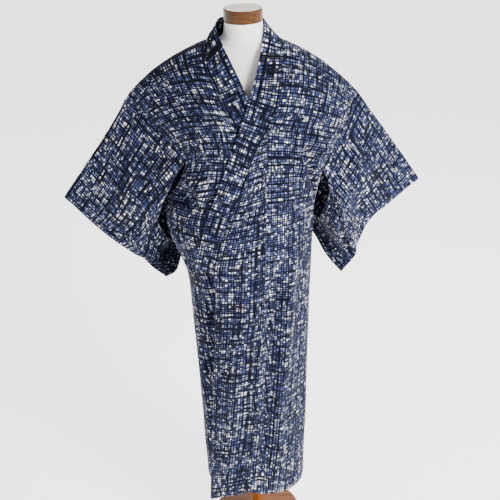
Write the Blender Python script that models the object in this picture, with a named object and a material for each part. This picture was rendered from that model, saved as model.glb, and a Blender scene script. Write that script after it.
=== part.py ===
"""An unlined cotton robe with square sleeves, crossed left over right, on a limbless dress form.

Metres, +Z up. The origin is the middle of the base's underside. The robe faces -Y, so the
wearer's left is at +X. Every cloth piece is a thin wall lofted through rows worked out from
the cut sizes and from the short tables below.
"""
import bpy
import bmesh
import math
from mathutils import Vector

# Driving sizes of the cloth
CLOTH = 0.0016
COLLAR_CLOTH = 0.0022
SEAM_GAP = 0.0006
ARMHOLE_GAP = 0.0014
UNDER_LAYER = 0.0075
SKIRT_UNDER_LAYER = 0.014
SEWN_STRIP = 0.020

# Driving sizes of the stand
BASE_RADIUS = 0.150
BASE_HEIGHT = 0.023
BASE_EDGE = 0.005
POLE_RADIUS = 0.016
TORSO_BOTTOM = 0.930
NECK_TOP = 1.757
CAP_RADIUS = 0.051
CAP_HEIGHT = 0.033
CAP_EDGE = 0.003
REST_GAP = 0.0003

# How finely each piece is divided across, and round
BODY_ACROSS = 12
OVERLAP_ACROSS = 5
COLLAR_ACROSS = 4
SLEEVE_ACROSS = 12
TORSO_SIDES = 40
TORSO_LEVELS = 26
ROUND_SIDES = 40

# The robe's girth below the arms: level, reach to each side, to the front and to the back
ROBE_FORM = (
    (0.200, 0.165, 0.160, 0.142, 0.150),
    (0.550, 0.172, 0.168, 0.158, 0.158),
    (0.830, 0.180, 0.175, 0.168, 0.165),
    (1.010, 0.187, 0.179, 0.172, 0.166),
    (1.110, 0.216, 0.182, 0.172, 0.163),
    (1.170, 0.236, 0.185, 0.171, 0.160),
    (1.230, 0.241, 0.189, 0.169, 0.157),
    (1.300, 0.222, 0.197, 0.166, 0.152),
    (1.380, 0.212, 0.218, 0.162, 0.145),
    (1.480, 0.245, 0.245, 0.154, 0.133),
    (1.560, 0.265, 0.265, 0.138, 0.120),
    (1.620, 0.270, 0.270, 0.117, 0.108),
    (1.670, 0.270, 0.270, 0.080, 0.090),
    (1.705, 0.270, 0.270, 0.030, 0.080),
)

# The dress form: level, half width, half depth, middle of the depth
TORSO_FORM = (
    (0.930, 0.140, 0.096, 0.000),
    (0.942, 0.158, 0.112, 0.000),
    (0.970, 0.167, 0.120, 0.000),
    (1.020, 0.168, 0.121, 0.000),
    (1.100, 0.156, 0.110, 0.000),
    (1.190, 0.143, 0.100, 0.000),
    (1.280, 0.150, 0.107, 0.000),
    (1.380, 0.166, 0.118, 0.000),
    (1.480, 0.180, 0.116, 0.002),
    (1.560, 0.190, 0.104, 0.004),
    (1.6155, 0.192, 0.092, 0.006),
    (1.6405, 0.187, 0.080, 0.008),
    (1.6605, 0.172, 0.068, 0.009),
    (1.6775, 0.146, 0.060, 0.009),
    (1.6895, 0.116, 0.054, 0.008),
    (1.7005, 0.086, 0.052, 0.006),
    (1.7145, 0.062, 0.052, 0.002),
    (1.730, 0.052, 0.051, 0.000),
    (1.757, 0.050, 0.050, 0.000),
)


def steady_slope(low, high):
    """The slope where two stretches meet: none at a turning point, so that nothing overshoots."""
    return 0.0 if low * high <= 0 else 2 * low * high / (low + high)


def meet(before, here, after, span_before, span_after):
    """The slope of a number, or of each number of a place, at the middle one of three rows."""
    if isinstance(here, Vector):
        numbers = zip(before, here, after)
        return Vector([meet(*three, span_before, span_after) for three in numbers])
    return steady_slope((here - before) / span_before, (after - here) / span_after)


def blend(table, t):
    """The columns of a table at t, its first column, joined by smooth cubics."""
    last = len(table) - 1
    t = min(max(t, table[0][0]), table[last][0])
    i = 0
    while i < last - 1 and t > table[i + 1][0]:
        i += 1
    here, there = table[i], table[i + 1]
    span = there[0] - here[0]
    f = (t - here[0]) / span
    result = []
    for column in range(1, len(here)):
        a, b = here[column], there[column]
        start_slope = end_slope = (b - a) / span
        if i > 0:
            start_slope = meet(table[i - 1][column], a, b, here[0] - table[i - 1][0], span)
        if i + 2 <= last:
            end_slope = meet(a, b, table[i + 2][column], span, table[i + 2][0] - there[0])
        result.append(
            a * (2 * f**3 - 3 * f**2 + 1) + start_slope * (span * (f**3 - 2 * f**2 + f))
            + b * (3 * f**2 - 2 * f**3) + end_slope * (span * (f**3 - f**2))
        )
    return result


def girth(level, x, facing, inset):
    """Half width and depth of the robe's form on one side, less the under layer's inset."""
    left, right, front, back = blend(ROBE_FORM, level)
    half = right - inset if x > 0 else left
    depth = (front if facing < 0 else back) - inset
    return half, depth


def on_front(x, level, inset=0.0):
    """The point of the robe's front at a place across it and a level."""
    half, depth = girth(level, x, -1, inset)
    return Vector((x, -depth * math.sqrt(max(0.0, 1 - (x / half) ** 2)), level))


def girth_row(along, side, x_in, z_in, z_out, facing, inset=0.0, dip=0.0):
    """A row round the form, from its inner edge to the side seam, as one elliptic arc."""
    half, depth = girth(z_out, side, facing, inset)
    start = math.asin(side * x_in / half)
    middle = (start + math.pi / 2) / 2
    spread = (math.pi / 2 - start) / 2
    inner = Vector((x_in, facing * depth * math.cos(start), z_in))
    knee = Vector((side * half * math.sin(middle), facing * depth * math.cos(middle), 0))
    knee /= math.cos(spread)
    knee.z = (z_in + z_out) / 2 - dip
    outer = Vector((side * half, facing * SEAM_GAP / 2, z_out))
    return (along, inner, knee, outer, math.cos(spread))


def slope_row(along, inner, knee, outer, fullness=0.8):
    """A row over the chest, shoulder or upper back, bent once at its knee."""
    return (along, Vector(inner), Vector(knee), Vector(outer), fullness)


def on_row(row, u):
    """The point at u on a row: inner edge, knee, outer edge and fullness."""
    inner, knee, outer, fullness = row
    a, b, c = (1 - u) ** 2, 2 * u * (1 - u) * fullness, u**2
    return (inner * a + knee * b + outer * c) / (a + b + c)


def crease_height(creases, across, along):
    """Height of the folds at a place on the cloth, in metres from its inner edge and hem.

    Each crease: across and along at its start, the same at its end, half width, height."""
    total = 0.0
    for across_0, along_0, across_1, along_1, half_width, height in creases:
        run = Vector((across_1 - across_0, along_1 - along_0))
        place = Vector((across - across_0, along - along_0))
        t = min(max(place.dot(run) / run.length_squared, 0.0), 1.0)
        distance = (place - run * t).length
        taper = 1 - (2 * t - 1) ** 4
        total += height * taper * math.exp(-((distance / half_width) ** 2))
    return total


def raised(surface, height):
    """A surface with its folds: height(u, along) moves each point along the surface's normal."""
    step = 0.002

    def folded(u, along):
        lift = height(u, along)
        if abs(lift) < 1e-6:
            return surface(u, along)
        across = surface(min(u + step, 1), along) - surface(max(u - step, 0), along)
        length = surface(u, along + step) - surface(u, along - step)
        return surface(u, along) + across.cross(length).normalized() * lift

    return folded


def paint(name, colour, roughness):
    """A plain finish for one kind of piece."""
    material = bpy.data.materials.get(name)
    if material is None:
        material = bpy.data.materials.new(name)
        material.use_nodes = True
        shader = material.node_tree.nodes["Principled BSDF"]
        shader.inputs["Base Color"].default_value = (*colour, 1)
        shader.inputs["Roughness"].default_value = roughness
        shader.inputs["Metallic"].default_value = 0.0
    return material


def keep(name, bm, material):
    """Turn a bmesh into a named object of the scene."""
    mesh = bpy.data.meshes.new(name)
    bm.to_mesh(mesh)
    bm.free()
    mesh.materials.append(material)
    piece = bpy.data.objects.new(name, mesh)
    bpy.context.scene.collection.objects.link(piece)
    return piece


def cloth_piece(name, surface, across, stations, thickness=CLOTH):
    """A cloth wall: a grid laid on surface(u, along) at the stations, thickened to both sides."""
    bm = bmesh.new()
    rows = len(stations) - 1
    bmesh.ops.create_grid(bm, x_segments=across, y_segments=rows, size=0.5)
    for vert in bm.verts:
        vert.co = surface(vert.co.x + 0.5, stations[round((vert.co.y + 0.5) * rows)])
    piece = keep(name, bm, paint("indigo_cotton", (0.06, 0.08, 0.19), 0.85))
    wall = piece.modifiers.new("wall", "SOLIDIFY")
    wall.thickness = thickness
    wall.offset = 0.0
    return piece


def trimmed(u, width, gap_in, gap_out):
    """u moved in from the edges of a strip, to leave half a seam's gap at each."""
    return gap_in / 2 / width + u * (1 - (gap_in + gap_out) / 2 / width)


# Body panels. Each runs from its front hem over the shoulder to its back hem in one length.
# Places along it are metres from the front hem, and neighbours share these stations.
COLLAR_END = 0.860
SIDE_SEAM_TOP = 0.970
LEFT_ARMHOLE = 1.135
RIGHT_ARMHOLE = 1.190
OVERLAP_POINT = 1.245
SHOULDER = 1.500
NAPE = 1.640
BACK_ARMHOLE = 1.850
BACK_SIDE_SEAM_TOP = 2.020
BACK_HEM = 3.100
BODY_WIDTH = 0.27
HEM_SIDE = 0.224
CENTRE = SEAM_GAP / 2


def steps(*stops):
    """Stations up to each stop, given as (place, number of steps that lead to it)."""
    places = [stops[0][0]]
    for stop, count in stops[1:]:
        start = places[-1]
        places += [start + (stop - start) * (i + 1) / count for i in range(count)]
    return places


def mirrored_back(along):
    """The station of the back that is sewn to a station of the front at the side seam."""
    return BACK_HEM - along * (BACK_HEM - BACK_SIDE_SEAM_TOP) / SIDE_SEAM_TOP


FRONT = steps((0.0, 0), (COLLAR_END, 8), (OVERLAP_POINT, 7), (SHOULDER, 6))
OVER_SHOULDER = steps((SHOULDER, 0), (NAPE, 6), (BACK_ARMHOLE, 4), (BACK_SIDE_SEAM_TOP, 2))
DOWN_BACK = [mirrored_back(along) for along in reversed(FRONT) if along < SIDE_SEAM_TOP - 0.001]
BODY_STATIONS = FRONT + OVER_SHOULDER[1:] + DOWN_BACK

LEFT_SHOULDER_SEAM = Vector((0.305, 0.030, 1.550))
LEFT_ARMHOLE_FRONT = Vector((0.205, -0.078, 1.365))
LEFT_ARMHOLE_BACK = Vector((0.212, 0.118, 1.372))
RIGHT_SHOULDER_SEAM = Vector((-0.325, 0.000, 1.555))
RIGHT_ARMHOLE_FRONT = Vector((-0.162, -0.118, 1.424))
RIGHT_ARMHOLE_BACK = Vector((-0.205, 0.116, 1.385))

LEFT_BODY_ROWS = (
    girth_row(0.000, 1, -0.027, 0.250, HEM_SIDE, -1, dip=0.026),
    girth_row(0.305, 1, 0.003, 0.552, 0.540, -1),
    girth_row(0.600, 1, 0.025, 0.850, 0.838, -1),
    girth_row(0.765, 1, 0.038, 1.014, 1.005, -1),
    girth_row(SIDE_SEAM_TOP, 1, 0.046, 1.220, 1.205, -1),
    slope_row(LEFT_ARMHOLE, on_front(0.050, 1.385), (0.172, -0.150, 1.378), LEFT_ARMHOLE_FRONT, 0.85),
    slope_row(OVERLAP_POINT, on_front(0.055, 1.503), (0.180, -0.140, 1.480), (0.241, -0.048, 1.432)),
    slope_row(1.330, on_front(0.080, 1.566), (0.195, -0.115, 1.555), (0.268, -0.018, 1.482)),
    slope_row(1.420, on_front(0.094, 1.646), (0.210, -0.062, 1.635), (0.290, 0.010, 1.526)),
    slope_row(SHOULDER, (0.102, 0.000, 1.701), (0.206, 0.010, 1.665), LEFT_SHOULDER_SEAM),
    slope_row(1.550, (0.084, 0.050, 1.702), (0.202, 0.060, 1.658), (0.296, 0.055, 1.535)),
    slope_row(1.595, (0.045, 0.077, 1.696), (0.200, 0.088, 1.640), (0.285, 0.075, 1.515)),
    slope_row(NAPE, (CENTRE, 0.085, 1.690), (0.190, 0.110, 1.610), (0.270, 0.090, 1.490)),
    slope_row(1.740, (CENTRE, 0.110, 1.595), (0.175, 0.145, 1.540), (0.242, 0.110, 1.435)),
    slope_row(BACK_ARMHOLE, (CENTRE, 0.130, 1.490), (0.165, 0.160, 1.445), LEFT_ARMHOLE_BACK),
    girth_row(BACK_SIDE_SEAM_TOP, 1, CENTRE, 1.320, 1.205, 1),
    girth_row(mirrored_back(0.765), 1, CENTRE, 1.080, 1.005, 1),
    girth_row(mirrored_back(0.600), 1, CENTRE, 0.890, 0.838, 1),
    girth_row(mirrored_back(0.305), 1, CENTRE, 0.560, 0.540, 1),
    girth_row(BACK_HEM, 1, CENTRE, 0.240, HEM_SIDE, 1),
)

RIGHT_BODY_ROWS = (
    girth_row(0.000, -1, 0.020, 0.256, HEM_SIDE, -1, SKIRT_UNDER_LAYER),
    girth_row(0.305, -1, -0.003, 0.555, 0.540, -1, SKIRT_UNDER_LAYER),
    girth_row(0.600, -1, -0.020, 0.850, 0.838, -1, SKIRT_UNDER_LAYER),
    girth_row(0.765, -1, -0.028, 1.014, 1.005, -1, UNDER_LAYER),
    girth_row(SIDE_SEAM_TOP, -1, -0.030, 1.220, 1.205, -1, UNDER_LAYER),
    slope_row(LEFT_ARMHOLE, on_front(-0.026, 1.385, UNDER_LAYER), (-0.122, -0.155, 1.395),
              (-0.182, -0.088, 1.362), 0.9),
    slope_row(RIGHT_ARMHOLE, on_front(-0.023, 1.445, UNDER_LAYER), (-0.115, -0.155, 1.465),
              RIGHT_ARMHOLE_FRONT, 0.85),
    slope_row(OVERLAP_POINT, on_front(-0.020, 1.495, UNDER_LAYER), (-0.130, -0.150, 1.515),
              (-0.202, -0.090, 1.457)),
    slope_row(1.330, on_front(-0.047, 1.556, 0.005), (-0.168, -0.124, 1.585), (-0.253, -0.050, 1.499)),
    slope_row(1.400, on_front(-0.071, 1.609, 0.003), (-0.198, -0.082, 1.635), (-0.290, -0.020, 1.531)),
    slope_row(1.460, on_front(-0.096, 1.664, 0.001), (-0.220, -0.035, 1.666), (-0.314, -0.006, 1.548)),
    slope_row(SHOULDER, (-0.102, 0.000, 1.704), (-0.240, 0.000, 1.669), RIGHT_SHOULDER_SEAM),
    slope_row(1.550, (-0.084, 0.050, 1.703), (-0.224, 0.055, 1.663), (-0.314, 0.030, 1.542)),
    slope_row(1.595, (-0.045, 0.077, 1.696), (-0.210, 0.085, 1.642), (-0.298, 0.055, 1.522)),
    slope_row(NAPE, (-CENTRE, 0.085, 1.690), (-0.192, 0.108, 1.610), (-0.280, 0.076, 1.500)),
    slope_row(1.740, (-CENTRE, 0.110, 1.595), (-0.178, 0.142, 1.540), (-0.244, 0.103, 1.445)),
    slope_row(BACK_ARMHOLE, (-CENTRE, 0.130, 1.490), (-0.165, 0.158, 1.450), RIGHT_ARMHOLE_BACK),
    slope_row(1.935, (-CENTRE, 0.139, 1.405), (-0.1695, 0.1555, 1.3655), (-0.2045, 0.0645, 1.2945)),
    girth_row(BACK_SIDE_SEAM_TOP, -1, -CENTRE, 1.320, 1.205, 1),
    girth_row(mirrored_back(0.765), -1, -CENTRE, 1.080, 1.005, 1),
    girth_row(mirrored_back(0.600), -1, -CENTRE, 0.890, 0.838, 1),
    girth_row(mirrored_back(0.305), -1, -CENTRE, 0.560, 0.540, 1),
    girth_row(BACK_HEM, -1, -CENTRE, 0.240, HEM_SIDE, 1),
)

# Folds of the body panels: across, along at the start and at the end, half width, height
LEFT_BODY_CREASES = (
    (0.035, 0.000, 0.020, 0.640, 0.022, -0.008),
    (0.090, 0.000, 0.085, 0.800, 0.030, 0.007),
    (0.160, 0.050, 0.150, 0.900, 0.030, -0.004),
    (0.090, 1.100, 0.150, 1.420, 0.025, 0.008),
    (0.130, 1.080, 0.200, 1.260, 0.018, -0.008),
    (0.080, 2.050, 0.060, 2.950, 0.030, 0.008),
    (0.170, 1.950, 0.190, 2.800, 0.035, -0.006),
)
RIGHT_BODY_CREASES = (
    (0.150, 0.300, 0.160, 0.820, 0.025, -0.006),
    (0.125, 1.215, 0.075, 1.140, 0.016, 0.008),
    (0.165, 1.130, 0.060, 1.080, 0.018, -0.009),
    (0.100, 1.330, 0.160, 1.200, 0.022, 0.006),
    (0.200, 0.980, 0.150, 0.900, 0.020, 0.003),
    (0.075, 2.000, 0.090, 2.900, 0.032, -0.007),
    (0.165, 1.980, 0.150, 2.850, 0.030, 0.008),
)


def body_surface(rows, side, creases):
    """The surface of one body panel, from its front hem to its back hem."""

    def surface(u, along):
        place = on_row(blend(rows, along), trimmed(u, BODY_WIDTH, SEAM_GAP, ARMHOLE_GAP))
        if along > SHOULDER and side * place.x < CENTRE:
            place.x = side * CENTRE
        return place

    def height(u, along):
        sewn = min(1.0, min(u, 1 - u) * BODY_WIDTH / SEWN_STRIP)
        return side * crease_height(creases, u * BODY_WIDTH, along) * sewn

    return raised(surface, height)


# Overlap panels: along, then across and level of the front edge. Above the collar's end
# that edge is the collar's seam, up to the panel's point. The other edge is the body's.
OVERLAP_WIDTH = 0.14
LEFT_OVERLAP_EDGE = (
    (0.000, -0.158, 0.168),
    (0.150, -0.148, 0.345),
    (0.305, -0.134, 0.520),
    (0.600, -0.113, 0.822),
    (0.765, -0.102, 0.992),
    (COLLAR_END, -0.100, 1.086),
    (1.000, -0.068, 1.225),
    (1.130, -0.012, 1.360),
    (1.215, 0.028, 1.466),
    (OVERLAP_POINT, 0.0525, 1.5022),
)
RIGHT_OVERLAP_EDGE = (
    (0.000, 0.138, 0.246),
    (0.305, 0.124, 0.545),
    (0.600, 0.108, 0.838),
    (0.765, 0.096, 1.000),
    (COLLAR_END, 0.090, 1.086),
    (1.000, 0.062, 1.245),
    (1.130, 0.022, 1.375),
    (1.215, -0.005, 1.457),
    (OVERLAP_POINT, -0.0175, 1.4942),
)
LEFT_OVERLAP_CREASES = (
    (0.085, 0.000, 0.070, 0.700, 0.022, 0.005),
    (0.050, 0.050, 0.045, 0.500, 0.018, -0.004),
)
# How far the upper front edge stands forward of the form at the hem, and where that ends
HEM_FLARE = 0.046
FLARE_TOP = 0.800


def under_inset(along):
    """How far the under front lies inside the upper one."""
    return blend(((0.600, SKIRT_UNDER_LAYER), (0.765, UNDER_LAYER), (1.300, UNDER_LAYER)), along)[0]


def overlap_edge(side, along):
    """A point of an overlap panel's front edge, or of the collar's seam above it."""
    x, level = blend(LEFT_OVERLAP_EDGE if side > 0 else RIGHT_OVERLAP_EDGE, along)
    place = on_front(x, level, 0.0 if side > 0 else under_inset(along))
    if side > 0 and along < FLARE_TOP:
        place.y -= HEM_FLARE * (1 - along / FLARE_TOP) ** 2
    return place


def overlap_surface(rows, side, creases):
    """The surface of one overlap panel, from its hem to its point below the neck."""

    def surface(u, along):
        seam, edge = blend(rows, along)[0], overlap_edge(side, along)
        t = trimmed(u, abs(seam.x - edge.x), SEAM_GAP, ARMHOLE_GAP)
        inset = 0.0 if side > 0 else under_inset(along)
        level = seam.z + (edge.z - seam.z) * t
        half = girth(level, edge.x, -1, inset)[0]
        start, end = math.asin(seam.x / half), math.asin(edge.x / half)
        place = on_front(half * math.sin(start + (end - start) * t), level, inset)
        seam_error = seam.y - on_front(seam.x, seam.z, inset).y
        edge_error = edge.y - on_front(edge.x, edge.z, inset).y
        place.y += seam_error * (1 - t) ** 2 + edge_error * t**2
        return place

    def height(u, along):
        sewn = min(1.0, min(u, 1 - u) * OVERLAP_WIDTH / SEWN_STRIP)
        return -side * crease_height(creases, u * OVERLAP_WIDTH, along) * sewn

    return raised(surface, height)


# Collar band, from the upper front's end round the neck to the under front's end. Its seam
# is the edge of the overlaps and of the bodies. The table gives its free edge: place along
# the band, then the edge's place, of two numbers where it lies on the front.
COLLAR_WIDTH = 0.058
BAND_NAPE = NAPE - COLLAR_END
BAND_OVER = 0.470
BAND_LIFT = 0.007
BAND_LENGTH = 2 * BAND_NAPE


def band_edge(band, place, inset=0.0):
    """A row of the collar's free edge."""
    return (band, Vector(place) if len(place) == 3 else on_front(*place, inset))


COLLAR_EDGE = (
    band_edge(0.000, (-0.156, 1.090)),
    band_edge(0.140, (-0.121, 1.236)),
    band_edge(0.270, (-0.066, 1.382)),
    band_edge(0.355, (-0.025, 1.492)),
    band_edge(0.410, (-0.003, 1.552)),
    band_edge(0.470, (0.011, 1.592)),
    band_edge(0.560, (0.029, 1.646)),
    band_edge(0.600, (0.043, -0.060, 1.694)),
    band_edge(0.640, (0.055, -0.010, 1.742)),
    band_edge(0.690, (0.051, 0.052, 1.753)),
    band_edge(0.735, (0.030, 0.076, 1.752)),
    band_edge(BAND_NAPE, (0.000, 0.083, 1.748)),
    band_edge(0.825, (-0.036, 0.076, 1.752)),
    band_edge(0.870, (-0.061, 0.050, 1.753)),
    band_edge(0.920, (-0.072, -0.012, 1.746)),
    band_edge(0.960, (-0.050, -0.062, 1.702)),
    band_edge(1.020, (-0.013, 1.632), 0.003),
    band_edge(1.090, (0.010, 1.580), 0.005),
    band_edge(1.175, (0.038, 1.515), UNDER_LAYER),
    band_edge(1.290, (0.076, 1.400), UNDER_LAYER),
    band_edge(1.420, (0.116, 1.262), UNDER_LAYER),
    band_edge(BAND_LENGTH, (0.143, 1.090), UNDER_LAYER),
)


def collar_surface(u, band):
    """The collar's surface: u from its seam to its free edge, band along it."""
    side = 1 if band < BAND_NAPE else -1
    along = COLLAR_END + (band if side > 0 else BAND_LENGTH - band)
    rows = LEFT_BODY_ROWS if side > 0 else RIGHT_BODY_ROWS
    seam = blend(rows, along)[0] if along > OVERLAP_POINT + 0.001 else overlap_edge(side, along)
    if abs(band - BAND_NAPE) < 1e-6:
        seam.x = 0.0
    edge = blend(COLLAR_EDGE, band)[0]
    place = seam + (edge - seam) * trimmed(u, COLLAR_WIDTH, ARMHOLE_GAP, 0.0)
    if band < BAND_OVER:
        place.y -= BAND_LIFT * u * math.sin(math.pi * min(1.0, 0.25 + band / BAND_OVER))
    return place


def collar_stations():
    """The collar's stations, matched to those of the panels that it is sewn to."""
    sewn = [along for along in BODY_STATIONS if COLLAR_END - 0.001 < along < NAPE + 0.001]
    half = [along - COLLAR_END for along in sewn]
    return half + [BAND_LENGTH - band for band in reversed(half[:-1])]


# Sleeves. Each is one strip folded along its top line: its front and back layers are
# patches inside four edges, given as short runs of places. The inner edge is sewn to the
# body's armhole for the first half of the sleeve's depth and hangs free below it.
def run(places):
    """A smooth curve through places, read from 0 to 1 by its length."""
    places = [Vector(place) for place in places]
    rows = [(0.0, places[0])]
    for before, after in zip(places, places[1:]):
        rows.append((rows[-1][0] + (after - before).length, after))
    whole = rows[-1][0]
    return lambda t: blend(rows, t * whole)[0]


SEWN_SHARE = 0.5
FREE_STEPS = 8
FOLD_ROUND = 0.010
FOLD_SHARE = 0.12
SLEEVE_BELLY = 0.022
SLANT_END = 0.7
SLEEVE_WIDTH = 0.34
LEFT_SLEEVE = {
    "top": (LEFT_SHOULDER_SEAM, (0.349, 0.050, 1.484), (0.425, 0.080, 1.375),
            (0.507, 0.100, 1.253)),
    "bottom": ((0.120, 0.195, 1.165), (0.190, 0.115, 1.088), (0.240, 0.065, 1.012),
               (0.280, 0.045, 0.972)),
    "front_free": (LEFT_ARMHOLE_FRONT, (0.226, -0.062, 1.300), (0.212, -0.020, 1.215),
                   (0.206, 0.060, 1.155), (0.176, 0.145, 1.145), (0.120, 0.195, 1.165)),
    "back_free": (LEFT_ARMHOLE_BACK, (0.200, 0.152, 1.315), (0.160, 0.185, 1.235),
                  (0.120, 0.195, 1.165)),
    "front_outer": ((0.507, 0.100, 1.253), (0.405, 0.045, 1.192), (0.318, 0.000, 1.138),
                    (0.318, 0.020, 1.050), (0.280, 0.045, 0.972)),
    "back_outer": ((0.507, 0.100, 1.253), (0.440, 0.125, 1.180), (0.365, 0.110, 1.105),
                   (0.322, 0.070, 1.030), (0.280, 0.045, 0.972)),
}
RIGHT_SLEEVE = {
    "top": (RIGHT_SHOULDER_SEAM, (-0.356, 0.000, 1.503), (-0.440, 0.000, 1.388),
            (-0.526, 0.000, 1.272)),
    "bottom": ((-0.120, 0.200, 1.160), (-0.200, 0.120, 1.065), (-0.226, 0.020, 1.006),
               (-0.250, -0.035, 1.020)),
    "front_free": (RIGHT_ARMHOLE_FRONT, (-0.201, -0.100, 1.358), (-0.233, -0.0635, 1.287),
                   (-0.266, -0.036, 1.234), (-0.254, -0.010, 1.169), (-0.236, 0.050, 1.105),
                   (-0.195, 0.145, 1.115), (-0.120, 0.200, 1.160)),
    "back_free": (RIGHT_ARMHOLE_BACK, (-0.2075, 0.1545, 1.313), (-0.165, 0.185, 1.240),
                  (-0.120, 0.200, 1.160)),
    "front_outer": ((-0.526, 0.000, 1.272), (-0.405, -0.030, 1.153), (-0.297, -0.048, 1.072),
                    (-0.250, -0.035, 1.020)),
    "back_outer": ((-0.526, 0.000, 1.272), (-0.430, 0.060, 1.170), (-0.325, 0.005, 1.078),
                   (-0.250, -0.035, 1.020)),
}


def inner_edge(rows, seam_end, free_places):
    """A sleeve layer's inner edge: the body's armhole, then its free edge."""
    free = run(free_places)

    def edge(down):
        if down <= SEWN_SHARE:
            return blend(rows, SHOULDER + (seam_end - SHOULDER) * down / SEWN_SHARE)[2]
        return free((down - SEWN_SHARE) / (1 - SEWN_SHARE))

    return edge


def patch(top, bottom, inner, outer, u, down):
    """A point of the cloth inside four edges that meet at their ends."""
    ruled = top(u) * (1 - down) + bottom(u) * down + inner(down) * (1 - u) + outer(down) * u
    upper_corners = top(0) * (1 - u) + top(1) * u
    lower_corners = bottom(0) * (1 - u) + bottom(1) * u
    return ruled - upper_corners * (1 - down) - lower_corners * down


def sleeve_surface(places, rows, side, front_end):
    """One sleeve, from the bottom of its back layer at 0 over the fold at 1 to the front's at 2."""
    top, bottom = run(places["top"]), run(places["bottom"])
    front = (inner_edge(rows, front_end, places["front_free"]), run(places["front_outer"]))
    back = (inner_edge(rows, BACK_ARMHOLE, places["back_free"]), run(places["back_outer"]))

    def middle(u, down):
        return (patch(top, bottom, *front, u, down) + patch(top, bottom, *back, u, down)) / 2

    def surface(u, turn):
        u = trimmed(u, SLEEVE_WIDTH, ARMHOLE_GAP, 0.0)
        down = abs(turn - 1)
        step = 0.004
        across = middle(min(u + step, 1), down) - middle(max(u - step, 0), down)
        length = middle(u, min(down + step, 1)) - middle(u, max(down - step, 0))
        outward = across.cross(length).normalized() * side
        part = (patch(top, bottom, *back, u, down) - patch(top, bottom, *front, u, down)) / 2
        slant = part - outward * part.dot(outward)
        low_down = min(max(down - SLANT_END, 0.0) * 5, 1.0)
        near_cuff = min(max(u - 0.5, 0.0) * 2.4, 1.0)
        part -= slant * low_down * near_cuff
        near_fold = min(down / FOLD_SHARE, 1.0)
        roll = FOLD_ROUND * math.sqrt(1 - (1 - near_fold) ** 2) * (1 - down)
        belly = SLEEVE_BELLY * math.sin(math.pi * down) * math.sin(math.pi * min(u * 1.1, 1.0)) ** 2
        least = (CLOTH + SEAM_GAP) / 2 * near_fold + roll
        if down < SEWN_SHARE:
            least *= min(1.0, u * 8)
        part += outward * (belly + max(0.0, least - part.dot(outward)))
        return middle(u, down) + part * (1 if turn < 1 else -1)

    return surface


def sleeve_stations(front_end):
    """A sleeve's stations, matched to the body's along the armhole."""
    back = [along for along in BODY_STATIONS if SHOULDER + 0.001 < along < BACK_ARMHOLE + 0.001]
    front = [along for along in BODY_STATIONS if front_end - 0.001 < along < SHOULDER - 0.001]
    back_downs = [SEWN_SHARE * (along - SHOULDER) / (BACK_ARMHOLE - SHOULDER) for along in back]
    front_downs = [SEWN_SHARE * (SHOULDER - along) / (SHOULDER - front_end) for along in front[::-1]]
    free = [SEWN_SHARE + (1 - SEWN_SHARE) * (i + 1) / FREE_STEPS for i in range(FREE_STEPS)]
    downs = [-down for down in reversed(back_downs + free)] + [0.0] + front_downs + free
    return [1 + down for down in downs]


def turned_piece(name, profile, colour, roughness):
    """A round piece: its profile of (radius, level) points turned round the upright axis."""
    bm = bmesh.new()
    verts = [bm.verts.new((radius, 0, level)) for radius, level in profile]
    edges = [bm.edges.new(pair) for pair in zip(verts, verts[1:])]
    bmesh.ops.spin(
        bm, geom=verts + edges, angle=math.tau, steps=ROUND_SIDES, axis=(0, 0, 1),
        cent=(0, 0, 0), use_merge=True,
    )
    bmesh.ops.remove_doubles(bm, verts=bm.verts, dist=1e-6)
    bmesh.ops.recalc_face_normals(bm, faces=bm.faces)
    piece = keep(name, bm, paint(name + "_finish", colour, roughness))
    piece.data.shade_smooth()
    piece.data.set_sharp_from_angle(angle=math.radians(35))
    return piece


def rounded_disc(radius, low, high, edge):
    """Profile of a disc with rounded rims, from the middle of its underside to its top."""
    corner = 4
    profile = [(0.0, low)]
    for centre, start in ((low + edge, -90), (high - edge, 0)):
        for i in range(corner + 1):
            angle = math.radians(start + 90 * i / corner)
            profile.append((radius - edge + edge * math.cos(angle), centre + edge * math.sin(angle)))
    profile.append((0.0, high))
    return profile


def build_torso():
    """The limbless form, lofted through its levels and closed flat below and above."""
    sides, levels = TORSO_SIDES, TORSO_LEVELS
    bm = bmesh.new()
    rings = []
    for i in range(levels + 1):
        place = i / levels * (len(TORSO_FORM) - 1)
        row = [(n, *values) for n, values in enumerate(TORSO_FORM)]
        level, half, depth, middle = blend(row, place)
        ring = []
        for k in range(sides):
            angle = math.tau * k / sides
            ring.append(bm.verts.new((half * math.cos(angle), middle + depth * math.sin(angle), level)))
        rings.append(ring)
    for low, high in zip(rings, rings[1:]):
        for k in range(sides):
            bm.faces.new((low[k], low[(k + 1) % sides], high[(k + 1) % sides], high[k]))
    bm.faces.new(list(reversed(rings[0])))
    bm.faces.new(rings[-1])
    torso = keep("torso", bm, paint("form_cover", (0.85, 0.83, 0.78), 0.8))
    torso.data.shade_smooth()
    torso.data.set_sharp_from_angle(angle=math.radians(50))


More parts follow.
